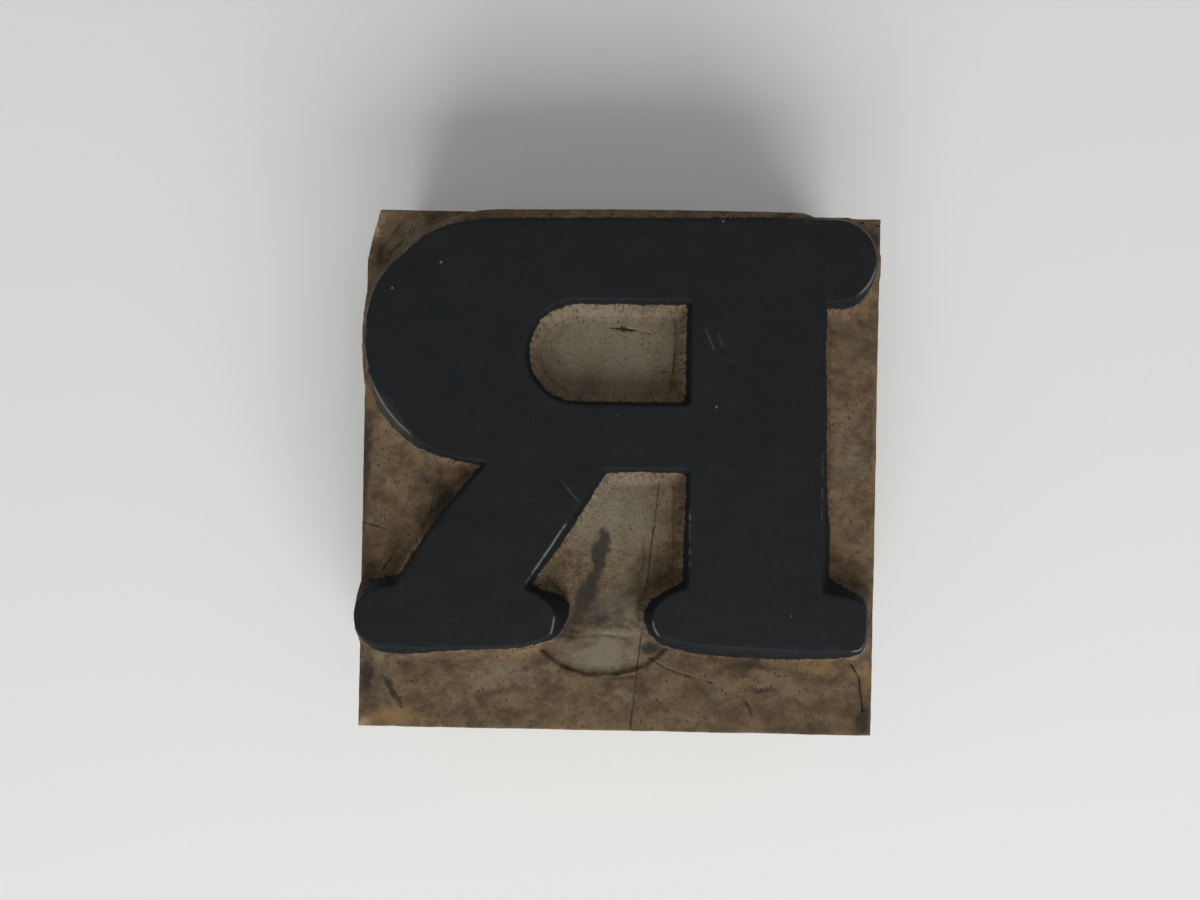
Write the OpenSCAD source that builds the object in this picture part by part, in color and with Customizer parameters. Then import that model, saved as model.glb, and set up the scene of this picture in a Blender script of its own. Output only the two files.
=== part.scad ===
// Wooden printing letter: a mirror-image capital R that stands in relief on a type-high block
// of end-grain maple. The block is two staves glued edge to edge, and the letter is glued on top.
// The printing face looks up (+Z), the head of the letter is at +Y, and the origin is the centre
// of the foot that the block stands on. Sizes are in millimetres.

/* [Letter] */
// Height of the capital, from the foot serifs to the top bar
cap_h = 40.8; // [36:0.1:44]
// Width of the upright stem
stem_w = 12.6; // [10:0.1:15]
// Thickness of the top bar and of its round serif
bar_t = 7.8; // [6.5:0.1:9]
// Thickness of the middle bar
cross_t = 6.1; // [5:0.1:7.5]
// Height of the closed counter inside the bowl
counter_h = 9.9; // [8.5:0.1:11]
// Width of the closed counter, from its round end to the stem
counter_w = 15.7; // [13:0.1:18]
// Outer radius of the bowl
bowl_r = 11.6; // [11:0.1:13]
// Run of the bars from the stem to the centre of the bowl
bar_run = 19.4; // [17:0.1:22]
// How far the round serif at the head stands out past the stem
serif_out = 4.85; // [4.2:0.05:7]
// Sideways run of the leg's outer edge on its way down to the foot
leg_run = 8.5; // [5:0.1:11]
// Width of the leg where it leaves the middle bar
leg_top_w = 11.3; // [9:0.1:13]
// Width of the leg where it meets its foot serif
leg_foot_w = 12.2; // [9:0.1:14]

/* [Foot serifs] */
// Thickness of the foot serifs
foot_t = 5.6; // [4.5:0.1:7]
// Radius of their squarer ends, away from the round ones
foot_corner_r = 1.2; // [0.4:0.1:2]
// How far the leg's serif stands out past the leg's outer edge
leg_foot_out = 3.7; // [3:0.1:5]
// How far the leg's serif stands out into the gap
leg_foot_in = 3.05; // [2:0.05:4]
// How far the stem's serif stands out into the gap
stem_foot_in = 3.5; // [2:0.1:4.5]
// How far the stem's serif stands out on the other side
stem_foot_out = 4.2; // [3:0.1:4.8]

/* [Relief] */
// Height that the letter stands above the shoulder of the block
relief = 3; // [2:0.1:4.5]
// Upright edge just below the printing face
edge_land = 0.3; // [0.1:0.05:0.6]
// How far the cut wall runs out from the face on its way down to the shoulder
wall_run = 1.3; // [0.6:0.1:1.6]
// Drop of the worn bevel between the top bar and the edge of the block
head_drop = 0.8; // [0.2:0.1:1.6]

/* [Block] */
// Height to paper: from the foot of the block to the printing face
type_high = 23.32; // [20:0.01:26]
// Margin between the top bar and the edge of the block
head = 1.1; // [0.6:0.1:4]
// Bare shoulder between the foot serifs and the edge of the block
beard = 8.7; // [5:0.1:14]
// Margin beside the leg's serif
bearing_leg = 0.1; // [0.1:0.05:4]
// Margin beside the round serif at the head
bearing_stem = 1.05; // [0.3:0.05:4]
// Turn of the letter on the block, as it was cut slightly out of square
letter_turn = 0.5; // [0:0.1:1]

/* [Cut floor] */
// Extra depth of the counters' floor below the shoulder
pocket_d = 0.4; // [0.1:0.05:1]
// How far the open counter's cut runs out past the foot serifs
scoop_out = 3.4; // [1:0.1:4.5]
// Radius of the sweep that ends that cut
scoop_r = 9; // [7.5:0.1:11]

/* [Staves] */
// Place of the joint between the staves, to the right of the block's centre
joint_x = 4; // [-6:0.1:12]
// Angle between the joint and the sides of the block
joint_lean = 5.7; // [0:0.1:10]
// Thickness of a glue line
glue_t = 0.1; // [0.06:0.01:0.3]
// Length of the broken corner at the head, along the side
chip_l = 5.1; // [1:0.1:8]
// Width of the broken corner, along the head
chip_w = 1.3; // [0.5:0.1:3]
// Depth of the broken corner, down from the shoulder
chip_d = 6; // [2:0.1:12]

/* [Hidden] */

// The block follows the letter: its width is the letter and its side margins
block_w = bearing_leg + leg_foot_out + leg_run + bar_run + stem_w + serif_out + bearing_stem;
block_h = head + cap_h + beard;
shoulder_z = type_high - relief;
letter_z = shoulder_z + glue_t;
letter_h = type_high - letter_z;

// Lines of the letter across the block
serif_x = block_w / 2 - bearing_stem;
stem_right = serif_x - serif_out;
stem_left = stem_right - stem_w;
bowl_x = stem_left - bar_run;
leg_foot_x = bowl_x - leg_run;

// Lines of the letter up the block
cap_y = block_h / 2 - head;
base_y = cap_y - cap_h;
foot_top = base_y + foot_t;
foot_y = base_y + foot_t / 2;
counter_y = cap_y - bar_t - counter_h;
cross_y = counter_y - cross_t;
bowl_y = cap_y - bowl_r;

// Steps along a half circle and along a small corner
half_steps = 36;
corner_steps = 6;
// Longer than the block, for shapes that are trimmed to it
reach = 2 * (block_w + block_h);
// How far a cut runs past the surface that it opens
spare = 1;

// Points along a circle between two angles, anticlockwise
function arc(centre, r, from, to, steps) =
    [for (i = [0 : steps]) let (a = from + (to - from) * i / steps) centre + r * [cos(a), sin(a)]];

// The corners of an upright rectangle
function patch(x0, y0, x1, y1) = [[x0, y0], [x1, y0], [x1, y1], [x0, y1]];

// The point at height y on the line through p and q
function on_line(p, q, y) = p + (q - p) * (y - p.y) / (q.y - p.y);

// A foot serif, with a full round end at the left and small corners at the right
function foot(x0, x1) = concat(
    arc([x0 + foot_t / 2, foot_y], foot_t / 2, 90, 270, half_steps),
    arc([x1 - foot_corner_r, base_y + foot_corner_r], foot_corner_r, -90, 0, corner_steps),
    arc([x1 - foot_corner_r, foot_top - foot_corner_r], foot_corner_r, 0, 90, corner_steps)
);

// The strokes of the printing face, each a convex outline that runs on into its neighbours
stem_mid = (stem_left + stem_right) / 2;
cross_mid = (cross_y + counter_y) / 2;
leg_outer = [[bowl_x, bowl_y - bowl_r], [leg_foot_x, foot_top]];
leg_inner = [[bowl_x + leg_top_w, cross_y], [leg_foot_x + leg_foot_w, foot_top]];

stem = patch(stem_left, foot_y, stem_right, cap_y - bar_t / 2);
stem_foot = foot(stem_left - stem_foot_in, stem_right + stem_foot_out);
bowl = concat(
    arc([bowl_x, bowl_y], bowl_r, 90, 270, half_steps),
    [[stem_mid, bowl_y - bowl_r], [stem_mid, cap_y]]
);
head_serif = concat(
    arc([serif_x - bar_t / 2, cap_y - bar_t / 2], bar_t / 2, -90, 90, half_steps),
    [[stem_left, cap_y], [stem_left, cap_y - bar_t]]
);
middle_bar = patch(bowl_x + leg_top_w / 2, cross_y, stem_mid, counter_y);
leg = [
    on_line(leg_outer[0], leg_outer[1], cross_mid),
    on_line(leg_outer[0], leg_outer[1], foot_y),
    on_line(leg_inner[0], leg_inner[1], foot_y),
    on_line(leg_inner[0], leg_inner[1], cross_mid)
];
leg_foot = foot(leg_foot_x - leg_foot_out, leg_foot_x + leg_foot_w + leg_foot_in);
strokes = [stem, stem_foot, bowl, head_serif, middle_bar, leg, leg_foot];

// The closed counter, with its round end at the left
counter = concat(
    arc([stem_left - counter_w + counter_h / 2, counter_y + counter_h / 2], counter_h / 2, 90, 270,
        half_steps),
    [[stem_left, counter_y], [stem_left, counter_y + counter_h]]
);

// A convex outline with every side moved outwards, or inwards where run is below zero
function grown(outline, run) = let (n = len(outline)) [for (i = [0 : n - 1])
    let (
        before = outline[i] - outline[(i + n - 1) % n],
        after = outline[(i + 1) % n] - outline[i],
        n1 = [before.y, -before.x] / norm(before),
        n2 = [after.y, -after.x] / norm(after)
    ) outline[i] + run * (n1 + n2) / (1 + n1 * n2)];

// A solid through one outline at several heights: each level is a height and how far it grows
module loft(outline, levels) {
    n = len(outline);
    top = n * (len(levels) - 1);
    polyhedron(
        points = [for (level = levels) for (p = grown(outline, level[1])) [p.x, p.y, level[0]]],
        faces = concat(
            [[for (i = [0 : n - 1]) i], [for (i = [n - 1 : -1 : 0]) top + i]],
            [for (k = [0 : n : top - n]) for (i = [0 : n - 1])
                [k + i, k + n + i, k + n + (i + 1) % n, k + (i + 1) % n]]
        )
    );
}

module turned() {
    rotate(letter_turn) children();
}

// Where the letter's cut wall meets the block
module letter_base() {
    turned() difference() {
        for (outline = strokes) polygon(grown(outline, wall_run));
        polygon(grown(counter, -wall_run));
    }
}

module block_outline() {
    square([block_w, block_h], center = true);
}

// The worn bevel between the top bar and the head of the block, as a bar along X
module head_bevel() {
    run = 2 * head;
    translate([bowl_x, 0, 0]) rotate([90, 0, 90])
        linear_extrude(height = serif_x - bar_t / 2 - bowl_x) polygon([
            [cap_y - bar_t / 2, 0],
            [cap_y + run, 0],
            [cap_y + run, letter_h - head_drop * run / head],
            [cap_y, letter_h],
            [cap_y - bar_t / 2, letter_h]
        ]);
}

// The raised letter, with its walls cut on a slope and trimmed to the sides of the block
module letter() {
    wall_top = letter_h - edge_land;
    color("#24272c") translate([0, 0, letter_z]) intersection() {
        turned() difference() {
            union() {
                for (outline = strokes)
                    loft(outline, [[0, wall_run], [wall_top, 0], [letter_h, 0]]);
                head_bevel();
            }
            loft(counter, [[-spare, -wall_run], [0, -wall_run], [wall_top, 0], [letter_h + spare, 0]]);
        }
        linear_extrude(height = letter_h) block_outline();
    }
}

// The glue that holds the letter down on both staves
module letter_glue() {
    color("#6b5230") translate([0, 0, shoulder_z]) linear_extrude(height = glue_t)
        intersection() {
            letter_base();
            block_outline();
        }
}

// The floors of both counters, cut deeper than the shoulder and run out below the feet in a sweep
module counter_floors() {
    gap_x = (leg_foot_x + leg_foot_w + leg_foot_in + stem_left - stem_foot_in) / 2;
    difference() {
        turned() {
            polygon(counter);
            polygon([
                [bowl_x + leg_top_w / 2, cross_y],
                [stem_left + wall_run, cross_y],
                [stem_left + wall_run, foot_top],
                [leg_foot_x + leg_foot_w / 2, foot_top]
            ]);
            translate([gap_x, base_y - scoop_out + scoop_r]) circle(r = scoop_r, $fn = 2 * half_steps);
        }
        letter_base();
    }
}

// The part of the block on one side of the joint: -1 is the left, 1 is the right, 0 is the glue
module joint_side(side) {
    width = side == 0 ? glue_t : reach;
    translate([joint_x, 0]) rotate(-joint_lean)
        translate([side * (reach + glue_t) / 2, 0]) square([width, 2 * reach], center = true);
}

// One upright piece of the block, cut down to the counters' floors
module stave(side) {
    difference() {
        linear_extrude(height = shoulder_z) intersection() {
            block_outline();
            joint_side(side);
        }
        translate([0, 0, shoulder_z - pocket_d])
            linear_extrude(height = 2 * pocket_d) counter_floors();
    }
}

// The broken corner: one slanted plane through three points on the corner's edges
module corner_chip() {
    corner = [-block_w / 2, block_h / 2, shoulder_z];
    grow = 1 + spare * (1 / chip_w + 1 / chip_l + 1 / chip_d);
    translate(corner + [-spare, spare, spare]) polyhedron(
        points = [[0, 0, 0], [chip_w * grow, 0, 0], [0, -chip_l * grow, 0], [0, 0, -chip_d * grow]],
        faces = [[0, 1, 2], [0, 3, 1], [0, 2, 3], [1, 3, 2]]
    );
}

module left_stave() {
    color("#9c8468") difference() {
        stave(-1);
        corner_chip();
    }
}

module right_stave() {
    color("#a58b6c") stave(1);
}

// The glue line between the staves
module stave_glue() {
    color("#5e4426") stave(0);
}

left_stave();
right_stave();
stave_glue();
letter_glue();
letter();
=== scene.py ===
# Wooden printing letter: a mirror-image capital R that stands in relief on a type-high block of
# maple. The printing face looks up and the head of the letter is towards +Y. Sizes are written
# in millimetres, and each mesh is made in metres.
import math

import bpy
import numpy as np
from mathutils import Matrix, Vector, kdtree, noise
from mathutils.geometry import delaunay_2d_cdt


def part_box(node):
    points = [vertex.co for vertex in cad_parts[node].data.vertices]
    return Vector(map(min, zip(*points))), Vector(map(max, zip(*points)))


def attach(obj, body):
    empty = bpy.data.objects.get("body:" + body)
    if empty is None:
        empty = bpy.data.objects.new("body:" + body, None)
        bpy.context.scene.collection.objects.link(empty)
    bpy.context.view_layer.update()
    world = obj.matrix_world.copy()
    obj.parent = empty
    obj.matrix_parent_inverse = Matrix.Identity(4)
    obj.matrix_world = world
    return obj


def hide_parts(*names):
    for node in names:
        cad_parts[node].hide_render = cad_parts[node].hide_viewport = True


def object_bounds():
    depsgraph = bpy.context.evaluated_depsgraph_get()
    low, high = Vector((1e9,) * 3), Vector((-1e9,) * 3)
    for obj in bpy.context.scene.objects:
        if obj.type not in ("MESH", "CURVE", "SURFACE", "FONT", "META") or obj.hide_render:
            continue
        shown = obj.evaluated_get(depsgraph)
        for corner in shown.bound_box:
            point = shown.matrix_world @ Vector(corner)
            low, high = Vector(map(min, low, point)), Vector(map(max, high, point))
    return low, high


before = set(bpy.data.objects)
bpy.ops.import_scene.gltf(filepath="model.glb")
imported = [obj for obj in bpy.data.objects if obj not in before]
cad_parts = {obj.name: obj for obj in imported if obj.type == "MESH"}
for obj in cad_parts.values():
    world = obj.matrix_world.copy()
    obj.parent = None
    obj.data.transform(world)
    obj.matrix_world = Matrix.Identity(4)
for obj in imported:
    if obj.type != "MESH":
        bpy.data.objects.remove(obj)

MM = 0.001
cad_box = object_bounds()

# Printing face
# The flat top of the letter is what the ink roller and the paper touch. A router cut round it
# along a pattern, so its edges wander a little, and years of use have rounded them.
half_w = cad_box[1].x / MM
half_h = cad_box[1].y / MM
face_z = cad_box[1].z / MM
letter_turn = 0.5

stem_left, stem_right = 6.6, 19.2
cap_y, bar_low = 24.2, 16.4
cross_low, cross_high = 0.4, 6.5
bowl_x, bowl_y, bowl_r = -12.8, 12.6, 11.6
serif_x, serif_r = 20.15, 3.9
counter_x, counter_r = -4.15, 4.95


def arc(x, y, radius, start, stop, steps=18):
    """Points along a circle from one angle to another, in degrees."""
    turns = [math.radians(start + (stop - start) * k / steps) for k in range(steps + 1)]
    return [(x + radius * math.cos(a), y + radius * math.sin(a)) for a in turns]


def flowing(points, steps=5):
    """A closed smooth curve through a few points."""
    p = np.array(points, float)
    before, after, next_but_one = np.roll(p, 1, 0), np.roll(p, -1, 0), np.roll(p, -2, 0)
    curve = []
    for k in range(steps):
        t = k / steps
        curve.append(0.5 * (2 * p + (after - before) * t
                            + (2 * before - 5 * p + 4 * after - next_but_one) * t ** 2
                            + (3 * p - before - 3 * after + next_but_one) * t ** 3))
    return np.stack(curve, 1).reshape(-1, 2)


stem = [(stem_left, -14), (stem_right, -14), (stem_right, 20), (stem_left, 20)]
top_bar = arc(serif_x, cap_y - serif_r, serif_r, -90, 90) + [(0, 23.95), (0, bar_low)]
middle_bar = [(-7, cross_low), (12, cross_low), (12, cross_high), (-7, cross_high)]
bowl = arc(bowl_x, bowl_y, bowl_r, 150, 270) + [
    (12, 1), (12, 24.1), (0, 23.95), (-12, 23.8), (-15.7, 23.5), (-17.3, 23.05),
    (-18.9, 22.3), (-20.5, 21), (-22, 19.4),
]
leg = [
    (-12.3, 1.2), (-14.3, -1.15), (-16.4, -3.65), (-18.5, -6.55), (-19.9, -8.9), (-21.4, -11.2),
    (-21.4, -13), (-9.6, -13), (-9.1, -11), (-1.5, 0.4), (-1.5, 3), (-12.3, 3),
]
leg_foot = flowing([
    (-25.1, -13.7), (-24.8, -15.1), (-23.7, -16.2), (-22, -16.7), (-16.8, -16.8), (-10.5, -16.55),
    (-8.2, -16.15), (-6.5, -15.5), (-6.1, -14.2), (-6.1, -13), (-7.2, -11.9), (-9.2, -11),
    (-14, -10.7), (-21.3, -10.9), (-22.9, -11.1), (-24.2, -11.8), (-24.9, -12.7),
])
stem_foot = flowing([
    (3.2, -13.7), (3.4, -14.8), (4.3, -15.6), (7.3, -16.2), (11.2, -16.45), (17.5, -16.7),
    (22.3, -16.65), (23.2, -16.1), (23.45, -14.5), (23.4, -12.3), (22.9, -11.8), (20.6, -11.3),
    (17, -10.7), (8, -10.7), (5.5, -11.1), (4.1, -11.9), (3.4, -12.8),
])
closed_counter = arc(counter_x, bowl_y - 1.15, counter_r, 90, 270) + [
    (stem_left, cross_high), (stem_left, bar_low),
]

# The distance from the face's edge is kept on a fine grid, positive outside the letter
cell = 0.1
grid_low = np.array([-half_w - 2, -half_h - 2])
grid_steps = np.ceil(-2 * grid_low / cell).astype(int) + 1
corner_round = 8


def turned(points):
    """Places on the block as the letter sees them, because it was cut slightly out of square."""
    c, s = math.cos(math.radians(letter_turn)), math.sin(math.radians(letter_turn))
    return points @ np.array([[c, -s], [s, c]])


def distance(points, outline):
    """Distance from each point to a closed outline, negative inside it."""
    corners = np.array(outline, np.float32)
    nearest = np.full(len(points), 1e9, np.float32)
    inside = np.zeros(len(points), bool)
    for a, b in zip(corners, np.roll(corners, -1, 0)):
        side = b - a
        from_a = points - a
        along = np.clip(from_a @ side / (side @ side), 0, 1)
        gap = from_a - along[:, None] * side
        nearest = np.minimum(nearest, gap[:, 0] ** 2 + gap[:, 1] ** 2)
        crosses = (a[1] <= points[:, 1]) != (b[1] <= points[:, 1])
        meets = a[0] + (points[:, 1] - a[1]) * side[0] / (side[1] or 1)
        inside ^= crosses & (points[:, 0] < meets)
    return np.where(inside, -1, 1) * np.sqrt(nearest)


def rippled(points, size, seed, octaves=1):
    """Smooth noise over the block, about -1 to 1, with bumps about as wide as size."""
    scaled = points / size
    return np.array([noise.fractal((x, y, seed), 1, 2, octaves) for x, y in scaled.tolist()])


def face_field():
    """The grid of distances, with the corners rounded as a cutter leaves them."""
    rows, columns = np.meshgrid(*(np.arange(n) for n in grid_steps), indexing="ij")
    places = grid_low + cell * np.stack([rows.ravel(), columns.ravel()], 1)
    seen = turned(places).astype(np.float32)
    strokes = [stem, top_bar, middle_bar, bowl, leg, leg_foot, stem_foot]
    out = np.min([distance(seen, outline) for outline in strokes], 0)
    out = np.maximum(out, -distance(seen, closed_counter))
    out = out + 0.03 * rippled(places, 1.6, 3.0, 3)
    out = out.reshape(grid_steps)
    for _ in range(corner_round):
        for axis in (0, 1):
            out = (np.roll(out, 1, axis) + 2 * out + np.roll(out, -1, axis)) / 4
    return out


field = face_field()


def outside(points):
    """Distance of each place on the block from the edge of the face, negative on the face."""
    steps = (points - grid_low) / cell
    low = np.clip(steps.astype(int), 0, grid_steps - 2)
    u, v = (steps - low).T
    i, j = low.T
    near = field[i, j] * (1 - v) + field[i, j + 1] * v
    far = field[i + 1, j] * (1 - v) + field[i + 1, j + 1] * v
    return near * (1 - u) + far * u


# Marks on the worked top
# The top of the block is end grain: cut by the router in and round the letter, and planed on
# the shoulder. Ink ran down the walls and was smeared over the floor, fibres tore out, and the
# wood split in places. Each mark is an oval: x, y, half length, half width, turn and strength.
wall_run = 1.3
shoulder_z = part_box("left_stave")[1].z / MM
letter_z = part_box("letter")[0].z / MM

ink_reach = 0.3
ink_runs = [
    (20, -7.5, 7, 2.2, 90, 1.2), (20.2, 5, 8, 1.6, 90, 0.35), (13, -17.3, 12.5, 1.8, -1, 1.3),
    (22, 16.4, 3.4, 1.6, 35, 0.35), (-5.4, -6, 6.5, 1.6, 57, 0.4), (-5.4, -13.4, 2.4, 1.9, 90, 1.2),
    (2.4, -13.6, 3, 1.6, 90, 0.45), (-21.2, -17.2, 4, 1.5, 0, 0.9), (6, -8.5, 3.5, 1.2, 90, 0.2),
    (-22.2, -10.6, 2.2, 0.9, 10, 0.4), (-21.4, 21, 7, 2.4, 45, -0.5), (-25, 12.5, 6, 1.6, 90, -0.6),
    (-22, 4.5, 7, 1.4, -45, 0.6), (6, 10, 6, 1.1, 90, 0.12),
]
worn_ink = [
    (3, 25, 22, 1.1, 1, 0.75), (-22.6, 5.6, 7, 1.5, -48, 0.8), (-25, 12, 5, 1, 90, 0.9),
    (18, 25, 4, 1, 0, 0.8), (24.4, -14.5, 2.6, 0.9, 90, 0.5),
]
# Painted highlights: pale lines on the face's rounded edge, on the sides that face the window lamp
painted_rim_highlights = [
    (-22.3, 5.8, 6, 0.9, -52, 1), (-6.6, -7.2, 4.6, 0.8, 57, 1), (23.2, 18.4, 2.6, 0.9, 50, 0.9),
    (-6.2, -14.6, 1.3, 0.7, 80, 1), (3.4, -14.6, 1.5, 0.7, -60, 1), (22.9, -16.2, 1.1, 0.8, 40, 1),
    (-24.9, -15.4, 0.7, 0.6, 60, 1), (19.2, 0, 9, 0.7, 90, 0.45), (6.7, -5, 5, 0.7, 90, 0.55),
    (-24.4, 11, 3, 0.8, 90, 0.8), (-7.5, -11.7, 1, 0.7, 0, 0.4),
]
smudges = [
    (-1.7, -7.6, 2.7, 0.8, 82, 1.3), (-2.9, -11.6, 3.2, 1, 68, 0.8), (-1.5, -14, 3.6, 2.4, 0, 0.6),
    (1.5, -11.5, 2.6, 2, 90, 0.4), (-3.6, -8.5, 2, 0.5, 60, 0.4), (3.9, -7.5, 3, 0.5, 85, 0.4),
    (-17, -3.3, 2.8, 1.3, 50, 0.85), (-18.6, -1.1, 2.2, 0.9, -20, 0.6), (-24.6, 2, 5, 0.7, 88, 0.7),
    (-24.2, -10.5, 2.2, 0.9, 80, 0.6), (-22.3, -11, 2, 0.8, 20, 0.9), (-24.3, -20.2, 2.2, 0.9, 84, 1),
    (-21.7, -21.6, 3.2, 0.5, -58, 0.85), (-22.3, -17.4, 2.6, 0.8, -10, 0.6),
    (3.5, -17, 1.7, 1, 20, 0.9), (1.2, -21.5, 1.2, 1.6, 90, 0.35), (14.6, -20.9, 2, 0.45, 4, 0.75),
    (8.5, -21.2, 1.6, 0.6, -45, 0.5), (12.9, -22.6, 1.7, 0.35, -62, 0.6), (24.3, -23.4, 2, 0.9, 75, 0.9),
    (19, -24.6, 5, 1, 0, 0.55), (9, -25, 7, 0.7, 0, 0.4), (13.5, -18.7, 3, 0.5, -2, 0.6),
    (-23.7, 20.9, 1.5, 0.8, 60, 0.8), (-20.5, 23.4, 1.2, 0.25, 60, 0.5), (24.3, 23.3, 1.8, 1.2, 90, 0.7),
    (2.5, -8, 3.6, 0.35, 83, 0.55), (-5, -15.8, 2, 0.8, 0, 0.6), (4.3, -13.2, 1.3, 0.5, 60, 0.5),
    (-24.8, -5, 5, 0.5, 90, 0.5), (-14.5, -24.7, 1.6, 1, 0, 0.3), (1.6, -24, 1.6, 1.3, 90, 0.35),
]
pale_grey = [
    (-1.4, -18, 4.6, 1.7, 0, 1), (-0.3, -4.4, 7, 6.5, 0, 0.85), (-1, 11.4, 11, 8, 0, 0.95),
    (0.2, -14.4, 3.6, 2.6, 0, 0.9), (-20.8, 22.6, 3, 1.5, 45, 0.7), (0.8, -21.8, 0.8, 1.4, 90, 0.6),
    (-23, -18, 1.2, 2, 0, 0.6), (23, 25, 1, 0.5, 0, 0.8), (-23.6, 16, 1.2, 4, -20, 0.7),
    (22.4, 1.5, 2.5, 6, 0, 0.45), (-11, -20, 7, 2, 5, 0.45),
]
orange_tan = [
    (-21.5, -24.2, 3.6, 1.5, 0, 1), (20, -18.7, 3.4, 1.1, -5, 0.9), (22.5, -17, 2.5, 1, 0, 0.8),
    (24.5, -19.6, 0.8, 2, 0, 0.9), (21.3, 13, 1.4, 5, 0, 0.55), (21.5, -6.5, 1.6, 3.5, 0, 0.55),
    (-16.6, -0.6, 2.4, 0.8, -12, 0.6), (24.9, 3, 0.5, 16, 0, 0.8), (-20.5, -5, 3, 3, 0, 0.3),
]
raw_wood = [
    (-24.3, 23.2, 1.6, 0.6, 70, 1), (-24.6, -24.9, 1.1, 0.6, 20, 0.8), (-19.8, -8.2, 2.6, 0.25, 57, 0.8),
    (20, 24.9, 2, 0.35, -5, 0.7), (-24.6, -15.6, 0.35, 0.3, 0, 0.8),
]
torn_floor = [
    (-1.3, -2.6, 6.5, 4.2, 0, 0.8), (-0.6, 11.4, 9.6, 5.6, 0, 0.8), (0, -15.6, 4, 1.2, 0, 1),
    (-5.5, -10.5, 2.4, 2.4, 0, 1), (-1, -10, 5, 4.4, 0, 0.7), (-21, -10.4, 2.4, 1, 20, 1),
    (-19.4, -8, 3.4, 0.6, 57, 1), (4.2, -17, 1.8, 1, 0, 1), (-1, -18, 4.4, 1.8, 0, 0.3),
    (21.6, -10.8, 2, 0.8, 0, 0.8), (-23, 22, 2.5, 2.5, 0, 0.6), (23.6, 24.2, 2, 1.2, 0, 0.6),
]

# Splits and scores: width, depth, darkness and the places that each runs through
splits = [
    (0.14, 0.22, 1.0, [(-1, 14.15), (0, 14.1), (1.4, 13.95), (2.7, 13.7)]),
    (0.34, 0.3, 1.0, [(-0.05, 14.15), (0.15, 14.1)]),
    (0.12, 0.08, 0.5, [(2.6, 10.1), (3.8, 9.95), (4.8, 10.05)]),
    (0.14, 0.12, 0.6, [(3.5, -5.2), (3.3, -6.6), (3.15, -8.6), (2.95, -10.8)]),
    (0.2, 0.08, 0.35, [(-5.4, -19), (-2.5, -19.9), (-0.5, -20.1), (1.9, -19.8), (3.2, -18.9)]),
    (0.1, 0.1, 0.4, [(1.95, -20.3), (1.75, -22.4), (1.5, -25.3)]),
    (0.14, 0.1, 0.5, [(3.3, -18.1), (5, -19), (6.4, -19.5), (9.7, -20.4)]),
    (0.13, 0.16, 0.9, [(23, -18.3), (23.7, -19.3), (23.9, -20.6), (24.2, -22.8)]),
    (0.14, 0.1, 0.7, [(-21.4, -7.2), (-22.1, -8.6), (-22.9, -10)]),
    (0.12, 0.08, 0.6, [(-25, -5.3), (-23.8, -5.6), (-22.6, -5.9)]),
    (0.22, 0.3, 1.0, [(-24, -10.9), (-23, -10.7), (-22.1, -10.9), (-21.4, -10.6)]),
    (0.12, 0.12, 0.9, [(-18.9, -6.5), (-19.8, -8.1), (-20.6, -9.6)]),
    (0.24, 0.14, 0.4, [(-5.8, -15.9), (-4, -16.2), (-1.6, -15.9), (0.9, -16.2), (3, -15.7)]),
    (0.14, 0.1, 0.5, [(12.6, -20.8), (12.8, -22.2), (13.4, -23.5)]),
    (0.12, 0.1, 0.6, [(-24, 21), (-22.8, 22.4), (-21.9, 23.8)]),
    (0.12, 0.1, 0.6, [(-22.9, 20.9), (-21.4, 22.4), (-20.7, 23.6)]),
    (0.14, 0.12, 0.8, [(22.6, 24.6), (23.5, 25), (24.8, 24.6)]),
    (0.12, 0.1, 0.5, [(-17.3, -0.4), (-18.2, -3), (-18.5, -6.3)]),
]
scores = [
    (0.1, 0.03, 0.4, [(8, 13.4), (8.5, 12.2)]),
    (0.1, 0.03, 0.3, [(9.1, 13.2), (9.3, 12.4)]),
    (0.1, 0.03, 0.4, [(-5.4, -0.9), (-4.6, -2), (-3.7, -2.9)]),
    (0.12, 0.05, -0.3, [(9.8, 10.5), (11.6, 10.8)]),
    (0.1, 0.04, -0.3, [(12.9, 8.4), (13.3, 7.4)]),
]

# The counters' floor lies deeper than the shoulder and runs out below the feet in a sweep
pocket_depth = 0.4
scoop_x, scoop_y, scoop_r = -1.475, -11, 9
open_counter = [(-7.15, cross_low), (7.9, cross_low), (7.9, -11), (-15.2, -11)]

# Torn fibres stand up in a ridge between the feet and along a splinter beside the leg
torn_ridge = [(-5, -15.2), (-2, -15.1), (1, -15.5), (3, -15)]
ridge_w, ridge_h = 0.6, 0.2
lifted_splinter = [(-19, -6.9), (-19.7, -8.2), (-20.4, -9.4)]
splinter_w, splinter_h = 0.22, 0.28

# Out from the face's edge, the floor lies under the letter first, shows past the wall, and
# turns up a little where it meets the wall, less so beside the block's sides
under_letter, floor_start, fillet_start = 1.02, 1.1, 1.2
fillet_w, fillet_h, fillet_h_at_side = 0.55, 0.26, 0.1


def marked(points, ovals, wander=0.45):
    """How strongly a set of oval marks shows at each place, with their rims made uneven."""
    shift = np.stack([rippled(points, 1.5, 11.0, 3), rippled(points, 1.5, 17.0, 3)], 1)
    x, y = (points + wander * shift).T
    total = np.zeros(len(points))
    for centre_x, centre_y, long, wide, turn, strength in ovals:
        c, s = math.cos(math.radians(turn)), math.sin(math.radians(turn))
        along = ((x - centre_x) * c + (y - centre_y) * s) / long
        across = ((y - centre_y) * c - (x - centre_x) * s) / wide
        total += strength * np.exp(-1.4 * (along ** 2 + across ** 2))
    return total


def gap_to(points, path):
    """Distance from each point to an open path."""
    nearest = np.full(len(points), 1e9)
    corners = np.array(path, float)
    for a, b in zip(corners, corners[1:]):
        side = b - a
        along = np.clip((points - a) @ side / (side @ side), 0, 1)
        nearest = np.minimum(nearest, np.hypot(*(points - a - along[:, None] * side).T))
    return nearest


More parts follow.
